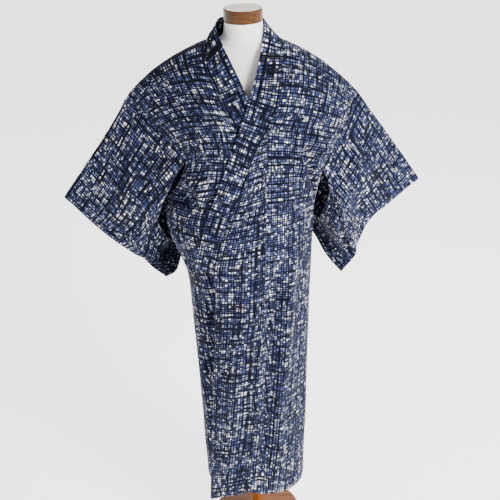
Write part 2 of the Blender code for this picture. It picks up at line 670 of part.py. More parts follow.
def build():
    """Put the stand together from the floor up, then dress it."""
    for leftover in list(bpy.data.objects):
        bpy.data.objects.remove(leftover)
    pole_foot = BASE_HEIGHT + REST_GAP
    pole_head = TORSO_BOTTOM - REST_GAP
    cap_foot = NECK_TOP + REST_GAP
    varnish = (0.55, 0.25, 0.07)
    turned_piece("base", rounded_disc(BASE_RADIUS, 0.0, BASE_HEIGHT, BASE_EDGE), varnish, 0.35)
    pole = [(0.0, pole_foot), (POLE_RADIUS, pole_foot), (POLE_RADIUS, pole_head), (0.0, pole_head)]
    turned_piece("pole", pole, varnish, 0.35)
    build_torso()
    cap = rounded_disc(CAP_RADIUS, cap_foot, cap_foot + CAP_HEIGHT, CAP_EDGE)
    turned_piece("neck_cap", cap, (0.30, 0.15, 0.04), 0.3)

    left_body = body_surface(LEFT_BODY_ROWS, 1, LEFT_BODY_CREASES)
    right_body = body_surface(RIGHT_BODY_ROWS, -1, RIGHT_BODY_CREASES)
    cloth_piece("body_left", left_body, BODY_ACROSS, BODY_STATIONS)
    cloth_piece("body_right", right_body, BODY_ACROSS, BODY_STATIONS)
    overlap_stations = [along for along in FRONT if along < OVERLAP_POINT + 0.001]
    left_overlap = overlap_surface(LEFT_BODY_ROWS, 1, LEFT_OVERLAP_CREASES)
    right_overlap = overlap_surface(RIGHT_BODY_ROWS, -1, ())
    cloth_piece("overlap_left", left_overlap, OVERLAP_ACROSS, overlap_stations)
    cloth_piece("overlap_right", right_overlap, OVERLAP_ACROSS, overlap_stations)
    cloth_piece("collar", collar_surface, COLLAR_ACROSS, collar_stations(), COLLAR_CLOTH)
    left_sleeve = sleeve_surface(LEFT_SLEEVE, LEFT_BODY_ROWS, 1, LEFT_ARMHOLE)
    right_sleeve = sleeve_surface(RIGHT_SLEEVE, RIGHT_BODY_ROWS, -1, RIGHT_ARMHOLE)
    cloth_piece("sleeve_left", left_sleeve, SLEEVE_ACROSS, sleeve_stations(LEFT_ARMHOLE))
    cloth_piece("sleeve_right", right_sleeve, SLEEVE_ACROSS, sleeve_stations(RIGHT_ARMHOLE))


build()
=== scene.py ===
"""The looks of a cotton yukata robe, crossed left over right, on a limbless dress form.

Metres, +Z up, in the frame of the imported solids. The robe's front faces -Y, so the wearer's
left is at +X. The sections follow the object as it is put together, from the floor up.
"""

import math

import bmesh
import bpy
import numpy as np
from mathutils import Matrix, Vector, noise


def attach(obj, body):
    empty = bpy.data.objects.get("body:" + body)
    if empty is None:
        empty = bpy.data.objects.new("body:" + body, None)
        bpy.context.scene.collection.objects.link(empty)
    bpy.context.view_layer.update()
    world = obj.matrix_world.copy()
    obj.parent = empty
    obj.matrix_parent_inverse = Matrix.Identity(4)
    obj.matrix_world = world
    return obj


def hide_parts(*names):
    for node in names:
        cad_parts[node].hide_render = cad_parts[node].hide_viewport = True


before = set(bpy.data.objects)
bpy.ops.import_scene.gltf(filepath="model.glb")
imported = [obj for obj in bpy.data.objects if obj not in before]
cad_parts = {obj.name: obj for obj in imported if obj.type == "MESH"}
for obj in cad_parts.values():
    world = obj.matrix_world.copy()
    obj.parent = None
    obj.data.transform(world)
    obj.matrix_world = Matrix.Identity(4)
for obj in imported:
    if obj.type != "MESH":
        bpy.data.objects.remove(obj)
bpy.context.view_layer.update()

# Camera. It stands in front of the form, above the neck's height, and looks down at the robe.
# Its horizon is tilted a little.
camera_data = bpy.data.cameras.new("camera")
camera_data.lens = 60.84
camera_data.sensor_width = 36.0
camera = bpy.data.objects.new("camera", camera_data)
looking_down = Matrix.Rotation(math.radians(90 - 28.7), 4, "X")
tilted = Matrix.Rotation(math.radians(-1.7), 4, "Z")
camera.matrix_world = Matrix.Translation((0.0, -2.2, 2.285)) @ looking_down @ tilted
bpy.context.scene.collection.objects.link(camera)
bpy.context.scene.camera = camera


# Floor. A wide pale sheet that the stand's foot rests on. It gives off some even light of its
# own, as a lit studio floor does, and is part of the studio and not of the object.
def new_material(name, colour, roughness):
    """A Principled material of one colour, with its node tree and shader."""
    material = bpy.data.materials.new(name)
    material.use_nodes = True
    shader = material.node_tree.nodes["Principled BSDF"]
    shader.inputs["Base Color"].default_value = (*colour, 1)
    shader.inputs["Roughness"].default_value = roughness
    return material, material.node_tree, shader


def keep(name, bm, material):
    """Turn a bmesh into a named object of the scene."""
    mesh = bpy.data.meshes.new(name)
    bm.to_mesh(mesh)
    bm.free()
    mesh.materials.append(material)
    piece = bpy.data.objects.new(name, mesh)
    bpy.context.scene.collection.objects.link(piece)
    return piece


FLOOR_SIZE = 15.0
FLOOR_GLOW = 2.2
floor_bm = bmesh.new()
bmesh.ops.create_grid(floor_bm, x_segments=1, y_segments=1, size=FLOOR_SIZE)
floor_material, floor_tree, floor_shader = new_material("pale_floor", (0.96, 0.96, 0.955), 0.8)
floor_shader.inputs["Emission Color"].default_value = (1.0, 0.995, 0.985, 1)
floor_shader.inputs["Emission Strength"].default_value = FLOOR_GLOW
floor = keep("floor", floor_bm, floor_material)


# Light. A big soft key from the upper right in front, a weaker one from the left, one from
# above and behind, and an even pale surrounding.
def soft_light(name, place, target, size, power, colour=(1, 1, 1)):
    """A square area light that looks at a target."""
    lamp = bpy.data.lights.new(name, "AREA")
    lamp.size = size
    lamp.energy = power
    lamp.color = colour
    light = bpy.data.objects.new(name, lamp)
    light.location = place
    aim = Vector(target) - Vector(place)
    light.rotation_euler = aim.to_track_quat("-Z", "Y").to_euler()
    bpy.context.scene.collection.objects.link(light)


CHEST = (0.0, 0.0, 1.2)
soft_light("key_light", (2.3, -2.2, 3.0), CHEST, 1.3, 280, (1.0, 0.98, 0.95))
soft_light("fill_light", (-2.6, -2.4, 1.8), CHEST, 2.2, 3)
soft_light("rim_light", (0.6, 2.4, 3.0), CHEST, 2.0, 60)
surrounding = bpy.data.worlds.new("surrounding")
surrounding.use_nodes = True
backdrop = surrounding.node_tree.nodes["Background"]
backdrop.inputs["Color"].default_value = (1.0, 0.99, 0.97, 1)
backdrop.inputs["Strength"].default_value = 0.45
bpy.context.scene.world = surrounding


# Foot of the stand. A turned disc of varnished wood with rounded rims, with the grain
# running straight across it.
def wood(name, dark, light, across, roughness):
    """Varnished wood with its grain along one axis; across squeezes the figure on each axis."""
    material, tree, shader = new_material(name, light, roughness)
    nodes, links = tree.nodes, tree.links
    place = nodes.new("ShaderNodeTexCoord")
    squeeze = nodes.new("ShaderNodeMapping")
    squeeze.inputs["Scale"].default_value = across
    links.new(place.outputs["Object"], squeeze.inputs["Vector"])
    figure = nodes.new("ShaderNodeTexNoise")
    figure.inputs["Scale"].default_value = 9.0
    figure.inputs["Detail"].default_value = 8.0
    figure.inputs["Distortion"].default_value = 0.6
    links.new(squeeze.outputs["Vector"], figure.inputs["Vector"])
    tones = nodes.new("ShaderNodeValToRGB")
    tones.color_ramp.elements[0].position = 0.35
    tones.color_ramp.elements[0].color = (*dark, 1)
    tones.color_ramp.elements[1].position = 0.68
    tones.color_ramp.elements[1].color = (*light, 1)
    links.new(figure.outputs["Fac"], tones.inputs["Fac"])
    links.new(tones.outputs["Color"], shader.inputs["Base Color"])
    pores = nodes.new("ShaderNodeBump")
    pores.inputs["Strength"].default_value = 0.15
    pores.inputs["Distance"].default_value = 0.0006
    links.new(figure.outputs["Fac"], pores.inputs["Height"])
    links.new(pores.outputs["Normal"], shader.inputs["Normal"])
    shader.inputs["Specular IOR Level"].default_value = 0.25
    shader.inputs["Coat Weight"].default_value = 0.05
    shader.inputs["Coat Roughness"].default_value = 0.12
    return material


STAND_DARK = (0.15, 0.038, 0.003)
STAND_LIGHT = (0.28, 0.080, 0.007)
STAND_ROUGHNESS = 0.35
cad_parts["base"].material_slots[0].material = wood(
    "foot_wood", STAND_DARK, STAND_LIGHT, (1.2, 9.0, 9.0), STAND_ROUGHNESS)

# Pole. A plain turned upright between the foot and the form, of the same wood, with its
# grain along it.
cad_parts["pole"].material_slots[0].material = wood(
    "pole_wood", STAND_DARK, STAND_LIGHT, (12.0, 12.0, 0.9), STAND_ROUGHNESS)

# Dress form. A limbless torso covered in off-white jersey, whose fine knit shows as a soft
# grain. The robe rests on its shoulders.
form_material, form_tree, form_shader = new_material("jersey_cover", (0.92, 0.91, 0.88), 0.85)
knit_place = form_tree.nodes.new("ShaderNodeTexCoord")
knit = form_tree.nodes.new("ShaderNodeTexNoise")
knit.inputs["Scale"].default_value = 420.0
knit.inputs["Detail"].default_value = 2.0
knit_relief = form_tree.nodes.new("ShaderNodeBump")
knit_relief.inputs["Strength"].default_value = 0.12
knit_relief.inputs["Distance"].default_value = 0.0004
knit_tone = form_tree.nodes.new("ShaderNodeMix")
knit_tone.data_type = "RGBA"
knit_tone.inputs["A"].default_value = (0.90, 0.89, 0.86, 1)
knit_tone.inputs["B"].default_value = (0.96, 0.955, 0.93, 1)
form_tree.links.new(knit_place.outputs["Object"], knit.inputs["Vector"])
form_tree.links.new(knit.outputs["Fac"], knit_relief.inputs["Height"])
form_tree.links.new(knit.outputs["Fac"], knit_tone.inputs["Factor"])
form_tree.links.new(knit_tone.outputs["Result"], form_shader.inputs["Base Color"])
form_tree.links.new(knit_relief.outputs["Normal"], form_shader.inputs["Normal"])
form_shader.inputs["Sheen Weight"].default_value = 0.2
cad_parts["torso"].material_slots[0].material = form_material

# Neck cap. A turned disc of darker varnished wood on the neck, with its grain straight
# across it. Its flat top carries a painted highlight: a paler colour inside a dark rim, standing in
# for light falling on the top.
CAP_TOP = 1.7885
CAP_RIM = 0.044
CAP_DARK = (0.034, 0.009, 0.0002)
CAP_LIGHT = (0.105, 0.034, 0.0008)
# Painted highlight: the paler colour painted on the cap's flat top in place of the light that falls
# on it
CAP_PAINTED_HIGHLIGHT = (0.240, 0.120, 0.036)
cap_wood = wood("cap_wood", CAP_DARK, CAP_LIGHT, (1.5, 10.0, 10.0), 0.28)
cap_nodes, cap_links = cap_wood.node_tree.nodes, cap_wood.node_tree.links
cap_place = cap_nodes.new("ShaderNodeTexCoord")
cap_parts = cap_nodes.new("ShaderNodeSeparateXYZ")
cap_flat = cap_nodes.new("ShaderNodeVectorMath")
cap_flat.operation = "MULTIPLY"
cap_flat.inputs[1].default_value = (1, 1, 0)
cap_radius = cap_nodes.new("ShaderNodeVectorMath")
cap_radius.operation = "LENGTH"
on_top = cap_nodes.new("ShaderNodeMath")
on_top.operation = "GREATER_THAN"
on_top.inputs[1].default_value = CAP_TOP
in_rim = cap_nodes.new("ShaderNodeMath")
in_rim.operation = "LESS_THAN"
in_rim.inputs[1].default_value = CAP_RIM
# Mask of the painted highlight: the flat top inside the rim
painted_highlight_mask = cap_nodes.new("ShaderNodeMath")
painted_highlight_mask.operation = "MULTIPLY"
cap_with_painted_highlight = cap_nodes.new("ShaderNodeMix")
cap_with_painted_highlight.data_type = "RGBA"
cap_with_painted_highlight.inputs["B"].default_value = (*CAP_PAINTED_HIGHLIGHT, 1)
cap_shader = cap_nodes["Principled BSDF"]
cap_links.new(cap_place.outputs["Object"], cap_parts.inputs["Vector"])
cap_links.new(cap_place.outputs["Object"], cap_flat.inputs[0])
cap_links.new(cap_flat.outputs["Vector"], cap_radius.inputs[0])
cap_links.new(cap_parts.outputs["Z"], on_top.inputs[0])
cap_links.new(cap_radius.outputs["Value"], in_rim.inputs[0])
cap_links.new(on_top.outputs[0], painted_highlight_mask.inputs[0])
cap_links.new(in_rim.outputs[0], painted_highlight_mask.inputs[1])
cap_links.new(painted_highlight_mask.outputs[0], cap_with_painted_highlight.inputs["Factor"])
cap_links.new(cap_shader.inputs["Base Color"].links[0].from_socket, cap_with_painted_highlight.inputs["A"])
cap_links.new(cap_with_painted_highlight.outputs["Result"], cap_shader.inputs["Base Color"])
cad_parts["neck_cap"].material_slots[0].material = cap_wood


# Left body panel. One length of narrow cotton from the front hem over the shoulder to the
# back hem, with no shoulder seam. It is cut straight, and the whole robe's surfaces start
# from the form below.
# The robe's girth below the arms: level, reach to each side, to the front and to the back
ROBE_FORM = (
    (0.200, 0.165, 0.160, 0.142, 0.150),
    (0.550, 0.172, 0.168, 0.158, 0.158),
    (0.830, 0.180, 0.175, 0.168, 0.165),
    (1.010, 0.187, 0.179, 0.172, 0.166),
    (1.110, 0.216, 0.182, 0.172, 0.163),
    (1.170, 0.236, 0.185, 0.171, 0.160),
    (1.230, 0.241, 0.189, 0.169, 0.157),
    (1.300, 0.222, 0.197, 0.166, 0.152),
    (1.380, 0.212, 0.218, 0.162, 0.145),
    (1.480, 0.245, 0.245, 0.154, 0.133),
    (1.560, 0.265, 0.265, 0.138, 0.120),
    (1.620, 0.270, 0.270, 0.117, 0.108),
    (1.670, 0.270, 0.270, 0.080, 0.090),
    (1.705, 0.270, 0.270, 0.030, 0.080),
)
CLOTH = 0.0009
SEAM_GAP = 0.0003
ARMHOLE_GAP = 0.0004
UNDER_LAYER = 0.0075
SKIRT_UNDER_LAYER = 0.014


def steady_slope(low, high):
    """The slope where two stretches meet: none at a turning point, so that nothing overshoots."""
    return 0.0 if low * high <= 0 else 2 * low * high / (low + high)


def meet(before, here, after, span_before, span_after):
    """The slope of a number, or of each number of a place, at the middle one of three rows."""
    if isinstance(here, Vector):
        numbers = zip(before, here, after)
        return Vector([meet(*three, span_before, span_after) for three in numbers])
    return steady_slope((here - before) / span_before, (after - here) / span_after)


def blend(table, t):
    """The columns of a table at t, its first column, joined by smooth cubics."""
    last = len(table) - 1
    t = min(max(t, table[0][0]), table[last][0])
    i = 0
    while i < last - 1 and t > table[i + 1][0]:
        i += 1
    here, there = table[i], table[i + 1]
    span = there[0] - here[0]
    f = (t - here[0]) / span
    result = []
    for column in range(1, len(here)):
        a, b = here[column], there[column]
        start_slope = end_slope = (b - a) / span
        if i > 0:
            start_slope = meet(table[i - 1][column], a, b, here[0] - table[i - 1][0], span)
        if i + 2 <= last:
            end_slope = meet(a, b, table[i + 2][column], span, table[i + 2][0] - there[0])
        result.append(
            a * (2 * f**3 - 3 * f**2 + 1) + start_slope * (span * (f**3 - 2 * f**2 + f))
            + b * (3 * f**2 - 2 * f**3) + end_slope * (span * (f**3 - f**2))
        )
    return result


def girth(level, x, facing, inset):
    """Half width and depth of the robe's form on one side, less the under layer's inset."""
    left, right, front, back = blend(ROBE_FORM, level)
    half = right - inset if x > 0 else left
    depth = (front if facing < 0 else back) - inset
    return half, depth


def on_front(x, level, inset=0.0):
    """The point of the robe's front at a place across it and a level."""
    half, depth = girth(level, x, -1, inset)
    return Vector((x, -depth * math.sqrt(max(0.0, 1 - (x / half) ** 2)), level))


def girth_row(along, side, x_in, z_in, z_out, facing, inset=0.0, dip=0.0):
    """A row round the form, from its inner edge to the side seam, as one elliptic arc."""
    half, depth = girth(z_out, side, facing, inset)
    start = math.asin(side * x_in / half)
    middle = (start + math.pi / 2) / 2
    spread = (math.pi / 2 - start) / 2
    inner = Vector((x_in, facing * depth * math.cos(start), z_in))
    knee = Vector((side * half * math.sin(middle), facing * depth * math.cos(middle), 0))
    knee /= math.cos(spread)
    knee.z = (z_in + z_out) / 2 - dip
    outer = Vector((side * half, facing * SEAM_GAP / 2, z_out))
    return (along, inner, knee, outer, math.cos(spread))


def slope_row(along, inner, knee, outer, fullness=0.8):
    """A row over the chest, shoulder or upper back, bent once at its knee."""
    return (along, Vector(inner), Vector(knee), Vector(outer), fullness)


def on_row(row, u):
    """The point at u on a row: inner edge, knee, outer edge and fullness."""
    inner, knee, outer, fullness = row
    a, b, c = (1 - u) ** 2, 2 * u * (1 - u) * fullness, u**2
    return (inner * a + knee * b + outer * c) / (a + b + c)


def trimmed(u, width, gap_in, gap_out):
    """u moved in from the edges of a strip, to leave half a seam's gap at each."""
    return gap_in / 2 / width + u * (1 - (gap_in + gap_out) / 2 / width)


# Stations along a body panel, in metres of cloth from the front hem
COLLAR_END = 0.860
SIDE_SEAM_TOP = 0.970
LEFT_ARMHOLE = 1.135
RIGHT_ARMHOLE = 1.190
OVERLAP_POINT = 1.245
SHOULDER = 1.500
NAPE = 1.640
BACK_ARMHOLE = 1.850
BACK_SIDE_SEAM_TOP = 2.020
BACK_HEM = 3.100
BODY_WIDTH = 0.27
HEM_SIDE = 0.224
CENTRE = SEAM_GAP / 2
# Stations nearer than this are one and the same
HAIR = 0.001


def steps(*stops):
    """Stations up to each stop, given as (place, number of steps that lead to it)."""
    places = [stops[0][0]]
    for stop, count in stops[1:]:
        start = places[-1]
        places += [start + (stop - start) * (i + 1) / count for i in range(count)]
    return places


def mirrored_back(along):
    """The station of the back that is sewn to a station of the front at the side seam."""
    return BACK_HEM - along * (BACK_HEM - BACK_SIDE_SEAM_TOP) / SIDE_SEAM_TOP


FRONT = steps((0.0, 0), (COLLAR_END, 8), (OVERLAP_POINT, 7), (SHOULDER, 6))
OVER_SHOULDER = steps((SHOULDER, 0), (NAPE, 6), (BACK_ARMHOLE, 4), (BACK_SIDE_SEAM_TOP, 2))
DOWN_BACK = [mirrored_back(along) for along in reversed(FRONT) if along < SIDE_SEAM_TOP - HAIR]
BODY_STATIONS = FRONT + OVER_SHOULDER[1:] + DOWN_BACK
LEFT_SHOULDER_SEAM = Vector((0.305, 0.030, 1.550))
LEFT_ARMHOLE_FRONT = Vector((0.205, -0.078, 1.365))
LEFT_ARMHOLE_BACK = Vector((0.212, 0.118, 1.372))
LEFT_BODY_ROWS = (
    girth_row(0.000, 1, -0.027, 0.250, HEM_SIDE, -1, dip=0.026),
    girth_row(0.305, 1, 0.003, 0.552, 0.540, -1),
    girth_row(0.600, 1, 0.025, 0.850, 0.838, -1),
    girth_row(0.765, 1, 0.038, 1.014, 1.005, -1),
    girth_row(SIDE_SEAM_TOP, 1, 0.046, 1.220, 1.205, -1),
    slope_row(LEFT_ARMHOLE, on_front(0.050, 1.385), (0.172, -0.150, 1.378),
              LEFT_ARMHOLE_FRONT, 0.85),
    slope_row(OVERLAP_POINT, on_front(0.055, 1.503), (0.180, -0.140, 1.480),
              (0.241, -0.048, 1.432)),
    slope_row(1.330, on_front(0.080, 1.566), (0.195, -0.115, 1.555), (0.268, -0.018, 1.482)),
    slope_row(1.420, on_front(0.094, 1.646), (0.210, -0.062, 1.635), (0.290, 0.010, 1.526)),
    slope_row(SHOULDER, (0.102, 0.000, 1.701), (0.206, 0.010, 1.665), LEFT_SHOULDER_SEAM),
    slope_row(1.550, (0.084, 0.050, 1.702), (0.202, 0.060, 1.658), (0.296, 0.055, 1.535)),
    slope_row(1.595, (0.045, 0.077, 1.696), (0.200, 0.088, 1.640), (0.285, 0.075, 1.515)),
    slope_row(NAPE, (CENTRE, 0.085, 1.690), (0.190, 0.110, 1.610), (0.270, 0.090, 1.490)),
    slope_row(1.740, (CENTRE, 0.110, 1.595), (0.175, 0.145, 1.540), (0.242, 0.110, 1.435)),
    slope_row(BACK_ARMHOLE, (CENTRE, 0.130, 1.490), (0.165, 0.160, 1.445), LEFT_ARMHOLE_BACK),
    girth_row(BACK_SIDE_SEAM_TOP, 1, CENTRE, 1.320, 1.205, 1),
    girth_row(mirrored_back(0.765), 1, CENTRE, 1.080, 1.005, 1),
    girth_row(mirrored_back(0.600), 1, CENTRE, 0.890, 0.838, 1),
    girth_row(mirrored_back(0.305), 1, CENTRE, 0.560, 0.540, 1),
    girth_row(BACK_HEM, 1, CENTRE, 0.240, HEM_SIDE, 1),
)


def body_surface(rows, side):
    """The surface of one body panel, from its front hem to its back hem."""

    def surface(u, along):
        place = on_row(blend(rows, along), trimmed(u, BODY_WIDTH, SEAM_GAP, ARMHOLE_GAP))
        if along > SHOULDER and side * place.x < CENTRE:
            place.x = side * CENTRE
        return place

    return surface


def finer(stations, count):
    """The stations with count steps between each neighbouring pair."""
    places = [stations[0]]
    for start, end in zip(stations, stations[1:]):
        places += [start + (end - start) * (i + 1) / count for i in range(count)]
    return places


# The dye: tones of the cells from dark to bare cotton, and of the lines between them
CELL_TONES = (
    (0.00, (0.016, 0.021, 0.062)),
    (0.26, (0.034, 0.044, 0.130)),
    (0.50, (0.090, 0.108, 0.250)),
    (0.63, (0.210, 0.240, 0.400)),
    (0.74, (0.540, 0.580, 0.700)),
    (0.86, (0.950, 0.960, 0.980)),
)
LINE_TONE = (0.002, 0.0025, 0.008)


def lattice_cotton():
    """Plain-woven cotton dyed in an uneven lattice of dark lines round pale and blue cells.

    It reads the piece's UV map, which is in metres across and along the cloth."""
    material, tree, shader = new_material("indigo_lattice_cotton", (0.1, 0.12, 0.25), 0.82)
    nodes, links = tree.nodes, tree.links

    def join(value, socket):
        if isinstance(value, (int, float)):
            socket.default_value = value
        else:
            links.new(value, socket)

    def calc(operation, *values):
        step = nodes.new("ShaderNodeMath")
        step.operation = operation
        for value, socket in zip(values, step.inputs):
            join(value, socket)
        return step.outputs[0]

    def mottle(vector, scale, detail=1.0, output="Fac"):
        texture = nodes.new("ShaderNodeTexNoise")
        texture.inputs["Scale"].default_value = scale
        texture.inputs["Detail"].default_value = detail
        links.new(vector, texture.inputs["Vector"])
        return texture.outputs[output]

    def pushed(vector, scale, reach):
        """The vector moved to and fro by up to half the reach, so that lines waver."""
        centred = nodes.new("ShaderNodeVectorMath")
        centred.operation = "SUBTRACT"
        centred.inputs[1].default_value = (0.5, 0.5, 0.5)
        links.new(mottle(vector, scale, output="Color"), centred.inputs[0])
        moved = nodes.new("ShaderNodeVectorMath")
        moved.operation = "MULTIPLY_ADD"
        moved.inputs[1].default_value = (reach, reach, 0)
        links.new(centred.outputs[0], moved.inputs[0])
        links.new(vector, moved.inputs[2])
        return moved.outputs[0]

    def lines(coordinate, pitch, waver, least, width, softness):
        """Brightness between uneven parallel strokes, and a random number for each gap.

        A stroke is as wide as its waver is over the least, so that strokes begin and end."""
        scaled = calc("DIVIDE", coordinate, pitch)
        edge = nodes.new("ShaderNodeTexVoronoi")
        edge.voronoi_dimensions = "1D"
        edge.feature = "DISTANCE_TO_EDGE"
        cell = nodes.new("ShaderNodeTexVoronoi")
        cell.voronoi_dimensions = "1D"
        for texture in (edge, cell):
            texture.inputs["Scale"].default_value = 1.0
            texture.inputs["Randomness"].default_value = 0.7
            links.new(scaled, texture.inputs["W"])
        start = calc("MULTIPLY", calc("SUBTRACT", waver, least), width)
        end = calc("ADD", start, softness)
        ramp = nodes.new("ShaderNodeMapRange")
        ramp.interpolation_type = "SMOOTHSTEP"
        links.new(edge.outputs["Distance"], ramp.inputs["Value"])
        links.new(start, ramp.inputs["From Min"])
        links.new(end, ramp.inputs["From Max"])
        number = nodes.new("ShaderNodeSeparateColor")
        links.new(cell.outputs["Color"], number.inputs["Color"])
        return ramp.outputs["Result"], number.outputs["Red"]

    cloth_place = nodes.new("ShaderNodeUVMap")
    cloth_place.uv_map = "cloth"
    flat = cloth_place.outputs["UV"]
    wavered = pushed(flat, scale=8.0, reach=0.007)
    wavered = pushed(wavered, scale=50.0, reach=0.0018)
    parts = nodes.new("ShaderNodeSeparateXYZ")
    links.new(wavered, parts.inputs["Vector"])
    across, along = parts.outputs["X"], parts.outputs["Y"]

    stretched = nodes.new("ShaderNodeMapping")
    stretched.inputs["Scale"].default_value = (110.0, 17.0, 1.0)
    links.new(wavered, stretched.inputs["Vector"])
    warp_waver = mottle(stretched.outputs["Vector"], 1.0)
    turned = nodes.new("ShaderNodeMapping")
    turned.inputs["Scale"].default_value = (17.0, 110.0, 1.0)
    links.new(wavered, turned.inputs["Vector"])
    weft_waver = mottle(turned.outputs["Vector"], 1.0)

    fine_waver = mottle(flat, 70.0)

    bold = {"least": 0.36, "softness": 0.035}
    fine = {"least": 0.20, "softness": 0.09}
    warp_bold, warp_number = lines(across, 0.0200, warp_waver, width=0.52, **bold)
    weft_bold, weft_number = lines(along, 0.0180, weft_waver, width=0.57, **bold)
    warp_fine, warp_fine_number = lines(across, 0.0078, fine_waver, width=0.62, **fine)
    weft_fine, weft_fine_number = lines(along, 0.0072, fine_waver, width=0.66, **fine)

    def drawn(first, second):
        """A random number for each cell between two sets of lines."""
        pair = nodes.new("ShaderNodeCombineXYZ")
        links.new(first, pair.inputs["X"])
        links.new(second, pair.inputs["Y"])
        number = nodes.new("ShaderNodeTexWhiteNoise")
        number.noise_dimensions = "2D"
        links.new(pair.outputs["Vector"], number.inputs["Vector"])
        return number.outputs["Value"]

    # A cell's tone is mostly its own, partly that of the larger cell round it, with slow patches
    small = calc("MULTIPLY", drawn(warp_fine_number, weft_fine_number), 0.70)
    large = calc("MULTIPLY", drawn(warp_number, weft_number), 0.30)
    patches = calc("MULTIPLY", calc("SUBTRACT", mottle(flat, 16.0, 2.0), 0.5), 0.4)
    tone = calc("ADD", calc("ADD", small, large), patches)

    cells = nodes.new("ShaderNodeValToRGB")
    stops = cells.color_ramp.elements
    while len(stops) < len(CELL_TONES):
        stops.new(0.5)
    for stop, (position, colour) in zip(stops, CELL_TONES):
        stop.position = position
        stop.color = (*colour, 1)
    links.new(tone, cells.inputs["Fac"])

    # The bold lines are fully dark; the fine ones let a little of the cell show through
    between_bold = calc("MULTIPLY", warp_bold, weft_bold)
    between_fine = calc("MULTIPLY", calc("MULTIPLY", warp_fine, weft_fine), 0.96)
    shown = calc("MULTIPLY", between_bold, calc("ADD", between_fine, 0.04))
    dyed = nodes.new("ShaderNodeMix")
    dyed.data_type = "RGBA"
    dyed.inputs["A"].default_value = (*LINE_TONE, 1)
    links.new(shown, dyed.inputs["Factor"])
    links.new(cells.outputs["Color"], dyed.inputs["B"])
    links.new(dyed.outputs["Result"], shader.inputs["Base Color"])

    weave = nodes.new("ShaderNodeBump")
    weave.inputs["Strength"].default_value = 0.2
    weave.inputs["Distance"].default_value = 0.0004
    links.new(mottle(flat, 700.0, 2.0), weave.inputs["Height"])
    links.new(weave.outputs["Normal"], shader.inputs["Normal"])
    shader.inputs["Sheen Weight"].default_value = 0.02
    shader.inputs["Sheen Roughness"].default_value = 0.6
    shader.inputs["Specular IOR Level"].default_value = 0.05
    return material


COTTON = lattice_cotton()


# A fold's line sways by this share of its half width, this many radians from end to end
FOLD_SWAY = 0.35
SWAY_TURN = 7


def fold_height(creases, across, along):
    """Height of the listed folds over the cloth, in metres.

    Each crease: across and along at its start, the same at its end, half width, height."""
    total = np.zeros_like(across)
    for across_0, along_0, across_1, along_1, half_width, height in creases:
        run_across, run_along = across_1 - across_0, along_1 - along_0
        length = math.hypot(run_across, run_along)
        travel = (across - across_0) * run_across + (along - along_0) * run_along
        t = np.clip(travel / length**2, 0, 1)
        sway = FOLD_SWAY * half_width * np.sin(SWAY_TURN * t + 60 * across_0 + 11 * along_0)
        aside_across = across - across_0 - run_across * t + sway * run_along / length
        aside_along = along - along_0 - run_along * t - sway * run_across / length
        distance = np.hypot(aside_across, aside_along)
        taper = 1 - (2 * t - 1) ** 4
        total += height * taper * np.exp(-((distance / half_width) ** 2))
    return total


HEM_DEPTH = 0.016
HEM_RISE = 0.0006
STITCH_PITCH = 0.024
STITCH_DIP = 0.0007
STITCH_HALF = 0.003
HEM_SOFTNESS = 0.0012


def turned_edge(inward, beside):
    """Height of a turned, hand-stitched edge: a raised strip, dimpled where the thread holds."""
    strip = HEM_RISE / (1 + np.exp((inward - HEM_DEPTH) / HEM_SOFTNESS))
    held = np.clip(np.cos(2 * math.pi * beside / STITCH_PITCH), 0, 1) ** 2
    return strip - STITCH_DIP * held * np.exp(-(((inward - HEM_DEPTH) / STITCH_HALF) ** 2))


SEWN_STRIP = 0.020
SEAM_DIP = 0.0007
SEAM_HALF = 0.0025
BROAD_RUMPLE = 0.0016
SMALL_RUMPLE = 0.0005


def rumple(across, along):
    """Slight unevenness of hung cotton, longer along the cloth than across it."""
    heights = np.zeros_like(across)
    for index in np.ndindex(across.shape):
        x, y = across[index], along[index]
        broad = noise.noise(Vector((x * 17, y * 6, 0.5)))
        small = noise.noise(Vector((x * 52, y * 24, 7.5)))
        heights[index] = BROAD_RUMPLE * broad + SMALL_RUMPLE * small
    return heights


